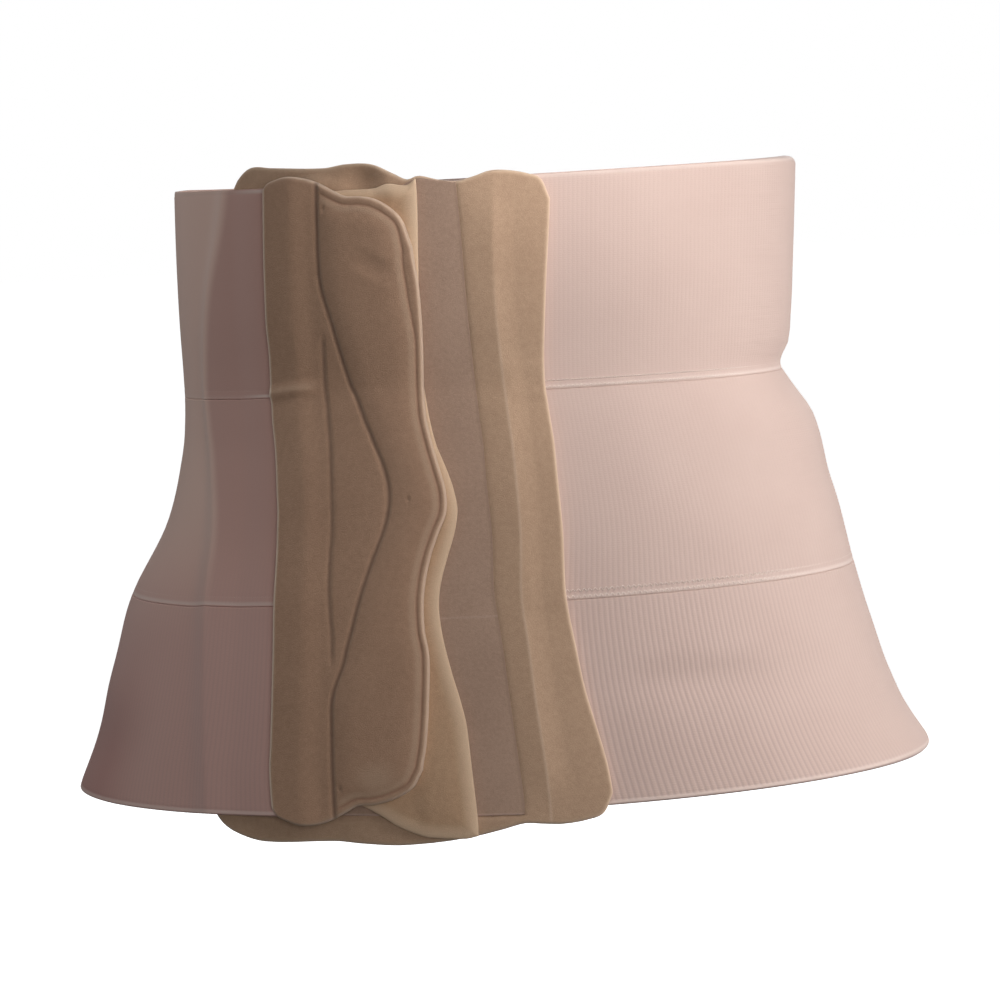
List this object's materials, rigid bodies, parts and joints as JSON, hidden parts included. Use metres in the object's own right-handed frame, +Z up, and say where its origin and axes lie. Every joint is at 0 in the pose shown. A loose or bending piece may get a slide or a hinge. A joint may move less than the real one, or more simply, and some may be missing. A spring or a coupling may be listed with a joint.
{
  "type": "lumbar support belt",
  "caption": "Elastic lumbar support belt, closed as worn round a hollow torso, with a stayed front panel, loop field and lapped hook flaps.",
  "frame": {"origin": "middle of the hollow for the body, at the height of the waist seam", "axes": "+Z up, along the body; front towards -Y, with the closure; +X to the wearer's left"},
  "size_m": [0.3835, 0.285, 0.2768],
  "materials": {
    "elastic": "ribbed woven elastic, matt, dusty pink",
    "panel_velour": "moulded foam laminate with a short brushed pile, matt, tan",
    "loop_pile": "low loop pile, matt, mauve brown",
    "flap_velour": "moulded foam laminate with a short brushed pile, matt, tan"
  },
  "bodies": {
    "root": {"elastic_band_upper": "elastic", "elastic_band_middle": "elastic", "elastic_band_lower": "elastic", "front_panel": "panel_velour", "loop_field": "loop_pile", "inner_flap": "flap_velour", "outer_flap": "flap_velour"}
  },
  "joints": []
}
